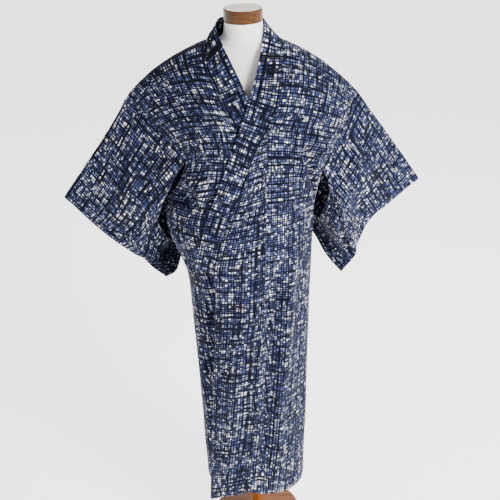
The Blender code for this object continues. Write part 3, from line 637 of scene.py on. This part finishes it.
def cloth_piece(name, surface, facing, size, across, stations, creases, sewn=(1, 1),
                hemmed=(1, 1), thickness=CLOTH, offset=0.0, metres=1.0):
    """A thin piece of cloth: a fine grid on surface(u, station), with its folds along its normals.

    size is its width. facing turns the normals outward. sewn says which long edges are sewn,
    where folds die away and a seam's furrow runs; a free long edge is turned and stitched down.
    hemmed says the same of its two ends. offset moves the pattern, so that no two pieces match.
    metres is the length of one unit of station."""
    bm = bmesh.new()
    rows = len(stations) - 1
    bmesh.ops.create_grid(bm, x_segments=across, y_segments=rows, size=0.5)
    places = {}
    points = np.zeros((rows + 1, across + 1, 3))
    for vert in bm.verts:
        column, row = round((vert.co.x + 0.5) * across), round((vert.co.y + 0.5) * rows)
        places[vert] = (row, column)
        points[row, column] = surface(column / across, stations[row])
    u = np.tile(np.linspace(0, 1, across + 1), (rows + 1, 1))
    along = np.tile(np.array(stations)[:, None] * metres, (1, across + 1))
    normals = np.cross(np.gradient(points, axis=1), np.gradient(points, axis=0))
    normals *= facing / np.linalg.norm(normals, axis=2, keepdims=True)
    lift = fold_height(creases, u * size, along)
    lift += rumple(u * size + offset, along)
    for near_edge, is_sewn in zip((u, 1 - u), sewn):
        if is_sewn:
            lift *= np.minimum(1.0, near_edge * size / SEWN_STRIP)
            lift -= SEAM_DIP * np.exp(-((near_edge * size / SEAM_HALF) ** 2))
        else:
            lift += turned_edge(near_edge * size, along)
    for from_end, is_hemmed in zip((along - along[0, 0], along[-1, 0] - along), hemmed):
        if is_hemmed:
            lift += turned_edge(from_end, u * size)
    points += normals * lift[:, :, None]
    uv = bm.loops.layers.uv.new("cloth")
    for vert, (row, column) in places.items():
        vert.co = points[row, column]
        for loop in vert.link_loops:
            loop[uv].uv = (u[row, column] * size + offset, along[row, column] + offset)
    if facing < 0:
        bmesh.ops.reverse_faces(bm, faces=bm.faces)
    piece = keep(name, bm, COTTON)
    piece.data.shade_smooth()
    wall = piece.modifiers.new("wall", "SOLIDIFY")
    wall.thickness = thickness
    wall.offset = 0.0
    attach(piece, "root")
    return piece


# Folds of each panel: across and along at the start, the same at the end, half width, height
LEFT_BODY_CREASES = (
    (0.038, 0.000, 0.034, 0.880, 0.022, -0.022),
    (0.085, 0.000, 0.080, 0.920, 0.026, 0.014),
    (0.160, 0.050, 0.150, 0.900, 0.030, -0.004),
    (0.135, 1.225, 0.230, 1.060, 0.018, -0.032),
    (0.090, 1.200, 0.195, 1.040, 0.016, 0.014),
    (0.145, 1.275, 0.232, 1.190, 0.016, 0.012),
    (0.120, 1.130, 0.215, 1.030, 0.012, -0.005),
    (0.225, 1.120, 0.240, 0.980, 0.011, -0.006),
    (0.190, 1.050, 0.212, 0.900, 0.013, 0.005),
    (0.080, 2.050, 0.060, 2.950, 0.030, 0.008),
    (0.170, 1.950, 0.190, 2.800, 0.035, -0.006),
    (0.060, 0.700, 0.120, 0.930, 0.012, 0.002),
    (0.210, 0.830, 0.150, 0.960, 0.012, -0.004),
    (0.070, 1.020, 0.180, 1.060, 0.011, -0.002),
    (0.120, 0.300, 0.128, 0.560, 0.010, 0.0020),
    (0.225, 0.120, 0.215, 0.480, 0.014, 0.0030),
    (0.100, 1.700, 0.180, 1.820, 0.018, -0.005),
    (0.060, 1.820, 0.190, 1.960, 0.016, 0.005),
    (0.210, 2.150, 0.120, 2.300, 0.014, -0.004),
    (0.130, 2.350, 0.120, 2.750, 0.012, 0.003),
)
BODY_FINE = finer(BODY_STATIONS, 4)
BODY_COLUMNS = 48
body_left = cloth_piece("robe_body_left", body_surface(LEFT_BODY_ROWS, 1), 1, BODY_WIDTH,
                        BODY_COLUMNS, BODY_FINE, LEFT_BODY_CREASES)
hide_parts("body_left")


# Right body panel. The same cut, mirrored. Its front lies under the left one, its shoulder is
# drawn a little wider, and the sleeve's weight pulls a fold across its chest.
RIGHT_SHOULDER_SEAM = Vector((-0.325, 0.000, 1.555))
RIGHT_ARMHOLE_FRONT = Vector((-0.162, -0.118, 1.424))
RIGHT_ARMHOLE_BACK = Vector((-0.205, 0.116, 1.385))
RIGHT_BODY_ROWS = (
    girth_row(0.000, -1, 0.020, 0.256, HEM_SIDE, -1, SKIRT_UNDER_LAYER),
    girth_row(0.305, -1, -0.003, 0.555, 0.540, -1, SKIRT_UNDER_LAYER),
    girth_row(0.600, -1, -0.020, 0.850, 0.838, -1, SKIRT_UNDER_LAYER),
    girth_row(0.765, -1, -0.028, 1.014, 1.005, -1, UNDER_LAYER),
    girth_row(SIDE_SEAM_TOP, -1, -0.030, 1.220, 1.205, -1, UNDER_LAYER),
    slope_row(LEFT_ARMHOLE, on_front(-0.026, 1.385, UNDER_LAYER), (-0.122, -0.155, 1.395),
              (-0.182, -0.088, 1.362), 0.9),
    slope_row(RIGHT_ARMHOLE, on_front(-0.023, 1.445, UNDER_LAYER), (-0.115, -0.155, 1.465),
              RIGHT_ARMHOLE_FRONT, 0.85),
    slope_row(OVERLAP_POINT, on_front(-0.020, 1.495, UNDER_LAYER), (-0.130, -0.150, 1.515),
              (-0.202, -0.090, 1.457)),
    slope_row(1.330, on_front(-0.047, 1.556, 0.005), (-0.168, -0.124, 1.585),
              (-0.253, -0.050, 1.499)),
    slope_row(1.400, on_front(-0.071, 1.609, 0.003), (-0.198, -0.082, 1.635),
              (-0.290, -0.020, 1.531)),
    slope_row(1.460, on_front(-0.096, 1.664, 0.001), (-0.220, -0.035, 1.666),
              (-0.314, -0.006, 1.548)),
    slope_row(SHOULDER, (-0.102, 0.000, 1.704), (-0.240, 0.000, 1.669), RIGHT_SHOULDER_SEAM),
    slope_row(1.550, (-0.084, 0.050, 1.703), (-0.224, 0.055, 1.663), (-0.314, 0.030, 1.542)),
    slope_row(1.595, (-0.045, 0.077, 1.696), (-0.210, 0.085, 1.642), (-0.298, 0.055, 1.522)),
    slope_row(NAPE, (-CENTRE, 0.085, 1.690), (-0.192, 0.108, 1.610), (-0.280, 0.076, 1.500)),
    slope_row(1.740, (-CENTRE, 0.110, 1.595), (-0.178, 0.142, 1.540), (-0.244, 0.103, 1.445)),
    slope_row(BACK_ARMHOLE, (-CENTRE, 0.130, 1.490), (-0.165, 0.158, 1.450), RIGHT_ARMHOLE_BACK),
    slope_row(1.935, (-CENTRE, 0.139, 1.405), (-0.1695, 0.1555, 1.3655), (-0.2045, 0.0645, 1.2945)),
    girth_row(BACK_SIDE_SEAM_TOP, -1, -CENTRE, 1.320, 1.205, 1),
    girth_row(mirrored_back(0.765), -1, -CENTRE, 1.080, 1.005, 1),
    girth_row(mirrored_back(0.600), -1, -CENTRE, 0.890, 0.838, 1),
    girth_row(mirrored_back(0.305), -1, -CENTRE, 0.560, 0.540, 1),
    girth_row(BACK_HEM, -1, -CENTRE, 0.240, HEM_SIDE, 1),
)
RIGHT_BODY_CREASES = (
    (0.098, 0.850, 0.112, 0.620, 0.015, -0.020),
    (0.112, 0.620, 0.156, 0.430, 0.015, -0.018),
    (0.156, 0.430, 0.182, 0.120, 0.014, -0.016),
    (0.160, 0.800, 0.205, 0.300, 0.018, 0.008),
    (0.236, 1.136, 0.080, 1.082, 0.019, 0.031),
    (0.236, 1.078, 0.100, 1.036, 0.017, -0.018),
    (0.215, 0.975, 0.120, 0.965, 0.010, -0.005),
    (0.100, 1.330, 0.160, 1.200, 0.022, 0.006),
    (0.190, 1.240, 0.200, 1.130, 0.014, -0.006),
    (0.200, 0.940, 0.150, 0.900, 0.012, 0.005),
    (0.215, 0.880, 0.135, 0.850, 0.012, -0.005),
    (0.075, 2.000, 0.090, 2.900, 0.032, -0.007),
    (0.165, 1.980, 0.150, 2.850, 0.030, 0.008),
    (0.225, 0.660, 0.205, 0.350, 0.012, -0.003),
    (0.240, 0.250, 0.232, 0.050, 0.014, 0.002),
    (0.190, 1.700, 0.090, 1.800, 0.018, 0.005),
    (0.200, 1.830, 0.070, 1.930, 0.014, -0.005),
    (0.110, 2.250, 0.200, 2.380, 0.013, 0.0035),
)
body_right = cloth_piece("robe_body_right", body_surface(RIGHT_BODY_ROWS, -1), -1, BODY_WIDTH,
                         BODY_COLUMNS, BODY_FINE, RIGHT_BODY_CREASES, offset=0.61)
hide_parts("body_right")


# Overlap panels. Narrow strips sewn to the front edges, cut to a point below the neck. The
# upper one's free corner hangs lower and stands forward at the hem; the other lies under it.
OVERLAP_WIDTH = 0.14
LEFT_OVERLAP_EDGE = (
    (0.000, -0.158, 0.168),
    (0.150, -0.148, 0.345),
    (0.305, -0.134, 0.520),
    (0.600, -0.113, 0.822),
    (0.765, -0.102, 0.992),
    (COLLAR_END, -0.100, 1.086),
    (1.000, -0.068, 1.225),
    (1.130, -0.012, 1.360),
    (1.215, 0.028, 1.466),
    (OVERLAP_POINT, 0.0525, 1.5022),
)
RIGHT_OVERLAP_EDGE = (
    (0.000, 0.138, 0.246),
    (0.305, 0.124, 0.545),
    (0.600, 0.108, 0.838),
    (0.765, 0.096, 1.000),
    (COLLAR_END, 0.090, 1.086),
    (1.000, 0.062, 1.245),
    (1.130, 0.022, 1.375),
    (1.215, -0.005, 1.457),
    (OVERLAP_POINT, -0.0175, 1.4942),
)
# How far the upper front edge stands forward of the form at the hem, and where that ends
HEM_FLARE = 0.046
FLARE_TOP = 0.800


def under_inset(along):
    """How far the under front lies inside the upper one."""
    return blend(((0.600, SKIRT_UNDER_LAYER), (0.765, UNDER_LAYER), (1.300, UNDER_LAYER)), along)[0]


def overlap_edge(side, along):
    """A point of an overlap panel's front edge, or of the collar's seam above it."""
    x, level = blend(LEFT_OVERLAP_EDGE if side > 0 else RIGHT_OVERLAP_EDGE, along)
    place = on_front(x, level, 0.0 if side > 0 else under_inset(along))
    if side > 0 and along < FLARE_TOP:
        place.y -= HEM_FLARE * (1 - along / FLARE_TOP) ** 2
    return place


def overlap_surface(rows, side):
    """The surface of one overlap panel, from its hem to its point below the neck."""

    def surface(u, along):
        seam, edge = blend(rows, along)[0], overlap_edge(side, along)
        t = trimmed(u, abs(seam.x - edge.x), SEAM_GAP, ARMHOLE_GAP)
        inset = 0.0 if side > 0 else under_inset(along)
        level = seam.z + (edge.z - seam.z) * t
        half = girth(level, edge.x, -1, inset)[0]
        start, end = math.asin(seam.x / half), math.asin(edge.x / half)
        place = on_front(half * math.sin(start + (end - start) * t), level, inset)
        seam_error = seam.y - on_front(seam.x, seam.z, inset).y
        edge_error = edge.y - on_front(edge.x, edge.z, inset).y
        place.y += seam_error * (1 - t) ** 2 + edge_error * t**2
        return place

    return surface


LEFT_OVERLAP_CREASES = (
    (0.085, 0.000, 0.070, 0.700, 0.022, 0.005),
    (0.030, 0.030, 0.028, 0.620, 0.014, -0.006),
    (0.115, 0.420, 0.080, 0.820, 0.012, -0.003),
    (0.030, 0.600, 0.050, 0.850, 0.010, 0.0020),
    (0.120, 0.020, 0.110, 0.300, 0.012, 0.0030),
)
OVERLAP_FINE = finer([along for along in FRONT if along < OVERLAP_POINT + HAIR], 4)
OVERLAP_COLUMNS = 26
overlap_left = cloth_piece("robe_overlap_left", overlap_surface(LEFT_BODY_ROWS, 1), -1,
                           OVERLAP_WIDTH, OVERLAP_COLUMNS, OVERLAP_FINE, LEFT_OVERLAP_CREASES,
                           sewn=(1, 0), offset=1.23)
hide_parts("overlap_left")
RIGHT_OVERLAP_CREASES = (
    (0.070, 0.050, 0.080, 0.600, 0.020, -0.002),
)
overlap_right = cloth_piece("robe_overlap_right", overlap_surface(RIGHT_BODY_ROWS, -1), 1,
                            OVERLAP_WIDTH, OVERLAP_COLUMNS, OVERLAP_FINE, RIGHT_OVERLAP_CREASES,
                            sewn=(1, 0), offset=1.87)
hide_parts("overlap_right")


# Collar. One long band, folded double, sewn along both fronts and round the back of the
# neck, where it stands up against the form.
COLLAR_WIDTH = 0.058
BAND_NAPE = NAPE - COLLAR_END
BAND_OVER = 0.470
BAND_LIFT = 0.007
BAND_LENGTH = 2 * BAND_NAPE


def band_edge(band, place, inset=0.0):
    """A row of the collar's free edge."""
    return (band, Vector(place) if len(place) == 3 else on_front(*place, inset))


COLLAR_EDGE = (
    band_edge(0.000, (-0.156, 1.090)),
    band_edge(0.140, (-0.121, 1.236)),
    band_edge(0.270, (-0.066, 1.382)),
    band_edge(0.355, (-0.025, 1.492)),
    band_edge(0.410, (-0.003, 1.552)),
    band_edge(0.470, (0.011, 1.592)),
    band_edge(0.560, (0.029, 1.646)),
    band_edge(0.600, (0.043, -0.060, 1.694)),
    band_edge(0.640, (0.055, -0.010, 1.742)),
    band_edge(0.690, (0.051, 0.052, 1.753)),
    band_edge(0.735, (0.030, 0.076, 1.752)),
    band_edge(BAND_NAPE, (0.000, 0.083, 1.748)),
    band_edge(0.825, (-0.036, 0.076, 1.752)),
    band_edge(0.870, (-0.061, 0.050, 1.753)),
    band_edge(0.920, (-0.072, -0.012, 1.746)),
    band_edge(0.960, (-0.050, -0.062, 1.702)),
    band_edge(1.020, (-0.013, 1.632), 0.003),
    band_edge(1.090, (0.010, 1.580), 0.005),
    band_edge(1.175, (0.038, 1.515), UNDER_LAYER),
    band_edge(1.290, (0.076, 1.400), UNDER_LAYER),
    band_edge(1.420, (0.116, 1.262), UNDER_LAYER),
    band_edge(BAND_LENGTH, (0.143, 1.090), UNDER_LAYER),
)


def collar_surface(u, band):
    """The collar's surface: u from its seam to its free edge, band along it."""
    side = 1 if band < BAND_NAPE else -1
    along = COLLAR_END + (band if side > 0 else BAND_LENGTH - band)
    rows = LEFT_BODY_ROWS if side > 0 else RIGHT_BODY_ROWS
    seam = blend(rows, along)[0] if along > OVERLAP_POINT + HAIR else overlap_edge(side, along)
    if abs(band - BAND_NAPE) < 1e-6:
        seam.x = 0.0
    edge = blend(COLLAR_EDGE, band)[0]
    place = seam + (edge - seam) * trimmed(u, COLLAR_WIDTH, ARMHOLE_GAP, 0.0)
    if band < BAND_OVER:
        place.y -= BAND_LIFT * u * math.sin(math.pi * min(1.0, 0.25 + band / BAND_OVER))
    return place


def collar_stations():
    """The collar's stations, matched to those of the panels that it is sewn to."""
    sewn = [along for along in BODY_STATIONS if COLLAR_END - HAIR < along < NAPE + HAIR]
    half = [along - COLLAR_END for along in sewn]
    return half + [BAND_LENGTH - band for band in reversed(half[:-1])]


COLLAR_CREASES = (
    (0.030, 0.180, 0.030, 0.420, 0.012, 0.0025),
    (0.052, 0.060, 0.053, 0.700, 0.004, -0.0015),
    (0.040, 0.560, 0.015, 0.640, 0.008, -0.0015),
    (0.015, 0.880, 0.045, 0.960, 0.008, 0.0015),
    (0.030, 1.080, 0.030, 1.300, 0.010, -0.001),
)
COLLAR_CLOTH = 0.0020
COLLAR_COLUMNS = 16
collar = cloth_piece("robe_collar", collar_surface, -1, COLLAR_WIDTH, COLLAR_COLUMNS,
                     finer(collar_stations(), 4), COLLAR_CREASES, sewn=(1, 0), hemmed=(0, 0),
                     thickness=COLLAR_CLOTH, offset=2.41)
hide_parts("collar")


# Left sleeve. One strip folded along its top line, sewn to the body for half its depth and
# open below the arm. Its cuff is open over its upper part.
def run(places):
    """A smooth curve through places, read from 0 to 1 by its length."""
    places = [Vector(place) for place in places]
    rows = [(0.0, places[0])]
    for before, after in zip(places, places[1:]):
        rows.append((rows[-1][0] + (after - before).length, after))
    whole = rows[-1][0]
    return lambda t: blend(rows, t * whole)[0]


SEWN_SHARE = 0.5
FREE_STEPS = 8
FOLD_ROUND = 0.010
FOLD_SHARE = 0.12
SLEEVE_BELLY = 0.022
SLANT_END = 0.7
# The slant goes over the sleeve's outer half, low down; the belly ends just short of the cuff
CUFF_HALF = 0.5
SLANT_PACE_DOWN = 5
SLANT_PACE_OUT = 2.4
BELLY_REACH = 1.1
SEWN_PACE = 8
NEARBY = 0.004
SLEEVE_WIDTH = 0.34
LEFT_SLEEVE = {
    "top": (LEFT_SHOULDER_SEAM, (0.349, 0.050, 1.484), (0.425, 0.080, 1.375),
            (0.507, 0.100, 1.253)),
    "bottom": ((0.120, 0.195, 1.165), (0.190, 0.115, 1.088), (0.240, 0.065, 1.012),
               (0.280, 0.045, 0.972)),
    "front_free": (LEFT_ARMHOLE_FRONT, (0.226, -0.062, 1.300), (0.212, -0.020, 1.215),
                   (0.206, 0.060, 1.155), (0.176, 0.145, 1.145), (0.120, 0.195, 1.165)),
    "back_free": (LEFT_ARMHOLE_BACK, (0.200, 0.152, 1.315), (0.160, 0.185, 1.235),
                  (0.120, 0.195, 1.165)),
    "front_outer": ((0.507, 0.100, 1.253), (0.405, 0.045, 1.192), (0.318, 0.000, 1.138),
                    (0.318, 0.020, 1.050), (0.280, 0.045, 0.972)),
    "back_outer": ((0.507, 0.100, 1.253), (0.440, 0.125, 1.180), (0.365, 0.110, 1.105),
                   (0.322, 0.070, 1.030), (0.280, 0.045, 0.972)),
}


def inner_edge(rows, seam_end, free_places):
    """A sleeve layer's inner edge: the body's armhole, then its free edge."""
    free = run(free_places)

    def edge(down):
        if down <= SEWN_SHARE:
            return blend(rows, SHOULDER + (seam_end - SHOULDER) * down / SEWN_SHARE)[2]
        return free((down - SEWN_SHARE) / (1 - SEWN_SHARE))

    return edge


def patch(top, bottom, inner, outer, u, down):
    """A point of the cloth inside four edges that meet at their ends."""
    ruled = top(u) * (1 - down) + bottom(u) * down + inner(down) * (1 - u) + outer(down) * u
    upper_corners = top(0) * (1 - u) + top(1) * u
    lower_corners = bottom(0) * (1 - u) + bottom(1) * u
    return ruled - upper_corners * (1 - down) - lower_corners * down


def sleeve_surface(places, rows, side, front_end):
    """One sleeve, from the foot of its back layer at 0, over the fold at 1, to the front's at 2."""
    top, bottom = run(places["top"]), run(places["bottom"])
    front = (inner_edge(rows, front_end, places["front_free"]), run(places["front_outer"]))
    back = (inner_edge(rows, BACK_ARMHOLE, places["back_free"]), run(places["back_outer"]))

    def middle(u, down):
        return (patch(top, bottom, *front, u, down) + patch(top, bottom, *back, u, down)) / 2

    def surface(u, turn):
        u = trimmed(u, SLEEVE_WIDTH, ARMHOLE_GAP, 0.0)
        down = abs(turn - 1)
        across = middle(min(u + NEARBY, 1), down) - middle(max(u - NEARBY, 0), down)
        length = middle(u, min(down + NEARBY, 1)) - middle(u, max(down - NEARBY, 0))
        outward = across.cross(length).normalized() * side
        part = (patch(top, bottom, *back, u, down) - patch(top, bottom, *front, u, down)) / 2
        slant = part - outward * part.dot(outward)
        low_down = min(max(down - SLANT_END, 0.0) * SLANT_PACE_DOWN, 1.0)
        near_cuff = min(max(u - CUFF_HALF, 0.0) * SLANT_PACE_OUT, 1.0)
        part -= slant * low_down * near_cuff
        near_fold = min(down / FOLD_SHARE, 1.0)
        roll = FOLD_ROUND * math.sqrt(1 - (1 - near_fold) ** 2) * (1 - down)
        swell = math.sin(math.pi * min(u * BELLY_REACH, 1.0))
        belly = SLEEVE_BELLY * math.sin(math.pi * down) * swell ** 2
        least = (CLOTH + SEAM_GAP) / 2 * near_fold + roll
        if down < SEWN_SHARE:
            least *= min(1.0, u * SEWN_PACE)
        part += outward * (belly + max(0.0, least - part.dot(outward)))
        return middle(u, down) + part * (1 if turn < 1 else -1)

    return surface


def sleeve_stations(front_end):
    """A sleeve's stations, matched to the body's along the armhole."""
    back = [along for along in BODY_STATIONS if SHOULDER + HAIR < along < BACK_ARMHOLE + HAIR]
    front = [along for along in BODY_STATIONS if front_end - HAIR < along < SHOULDER - HAIR]
    back_downs = [SEWN_SHARE * (along - SHOULDER) / (BACK_ARMHOLE - SHOULDER) for along in back]
    front_downs = [SEWN_SHARE * (SHOULDER - along) / (SHOULDER - front_end)
                   for along in front[::-1]]
    free = [SEWN_SHARE + (1 - SEWN_SHARE) * (i + 1) / FREE_STEPS for i in range(FREE_STEPS)]
    downs = [-down for down in reversed(back_downs + free)] + [0.0] + front_downs + free
    return [1 + down for down in downs]


SLEEVE_DEPTH = 0.49
LEFT_SLEEVE_CREASES = (
    (0.012, 0.700, 0.090, 0.648, 0.016, -0.007),
    (0.010, 0.695, 0.062, 0.752, 0.011, 0.008),
    (0.062, 0.752, 0.145, 0.768, 0.011, 0.007),
    (0.070, 0.775, 0.170, 0.800, 0.014, -0.020),
    (0.165, 0.798, 0.310, 0.885, 0.014, -0.018),
    (0.085, 0.798, 0.270, 0.893, 0.011, 0.007),
    (0.020, 0.780, 0.085, 0.860, 0.010, -0.006),
    (0.180, 0.700, 0.300, 0.800, 0.018, 0.004),
    (0.120, 0.540, 0.220, 0.640, 0.018, -0.003),
    (0.270, 0.560, 0.300, 0.700, 0.018, 0.003),
    (0.090, 0.120, 0.160, 0.440, 0.020, -0.006),
    (0.180, 0.080, 0.230, 0.420, 0.018, 0.005),
    (0.260, 0.150, 0.290, 0.400, 0.016, -0.003),
)
LEFT_SLEEVE_FINE = finer(sleeve_stations(LEFT_ARMHOLE), 3)
SLEEVE_COLUMNS = 40
sleeve_left = cloth_piece("robe_sleeve_left",
                          sleeve_surface(LEFT_SLEEVE, LEFT_BODY_ROWS, 1, LEFT_ARMHOLE), -1,
                          SLEEVE_WIDTH, SLEEVE_COLUMNS, LEFT_SLEEVE_FINE, LEFT_SLEEVE_CREASES,
                          sewn=(0, 0), offset=3.07, metres=SLEEVE_DEPTH)
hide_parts("sleeve_left")


# Right sleeve. The same cut. It hangs with its lower edge behind the body, where the cloth
# turns away under the arm.
RIGHT_SLEEVE = {
    "top": (RIGHT_SHOULDER_SEAM, (-0.356, 0.000, 1.503), (-0.440, 0.000, 1.388),
            (-0.526, 0.000, 1.272)),
    "bottom": ((-0.120, 0.200, 1.160), (-0.200, 0.120, 1.065), (-0.226, 0.020, 1.006),
               (-0.250, -0.035, 1.020)),
    "front_free": (RIGHT_ARMHOLE_FRONT, (-0.201, -0.100, 1.358), (-0.233, -0.0635, 1.287),
                   (-0.266, -0.036, 1.234), (-0.254, -0.010, 1.169), (-0.236, 0.050, 1.105),
                   (-0.195, 0.145, 1.115), (-0.120, 0.200, 1.160)),
    "back_free": (RIGHT_ARMHOLE_BACK, (-0.2075, 0.1545, 1.313), (-0.165, 0.185, 1.240),
                  (-0.120, 0.200, 1.160)),
    "front_outer": ((-0.526, 0.000, 1.272), (-0.405, -0.030, 1.153), (-0.297, -0.048, 1.072),
                    (-0.250, -0.035, 1.020)),
    "back_outer": ((-0.526, 0.000, 1.272), (-0.430, 0.060, 1.170), (-0.325, 0.005, 1.078),
                   (-0.250, -0.035, 1.020)),
}
RIGHT_SLEEVE_CREASES = (
    (0.030, 0.675, 0.170, 0.712, 0.026, -0.012),
    (0.170, 0.712, 0.320, 0.745, 0.028, -0.012),
    (0.060, 0.640, 0.290, 0.690, 0.018, 0.004),
    (0.050, 0.745, 0.290, 0.800, 0.018, 0.006),
    (0.090, 0.800, 0.290, 0.860, 0.014, -0.006),
    (0.018, 0.745, 0.110, 0.900, 0.010, -0.007),
    (0.035, 0.715, 0.130, 0.850, 0.010, 0.006),
    (0.012, 0.830, 0.060, 0.940, 0.009, 0.006),
    (0.150, 0.870, 0.240, 0.930, 0.012, 0.004),
    (0.090, 0.120, 0.160, 0.440, 0.020, -0.006),
    (0.180, 0.080, 0.230, 0.420, 0.018, 0.005),
    (0.260, 0.150, 0.290, 0.400, 0.016, -0.003),
)
RIGHT_SLEEVE_FINE = finer(sleeve_stations(RIGHT_ARMHOLE), 3)
sleeve_right = cloth_piece("robe_sleeve_right",
                           sleeve_surface(RIGHT_SLEEVE, RIGHT_BODY_ROWS, -1, RIGHT_ARMHOLE), 1,
                           SLEEVE_WIDTH, SLEEVE_COLUMNS, RIGHT_SLEEVE_FINE, RIGHT_SLEEVE_CREASES,
                           sewn=(0, 0), offset=3.71, metres=SLEEVE_DEPTH)
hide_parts("sleeve_right")
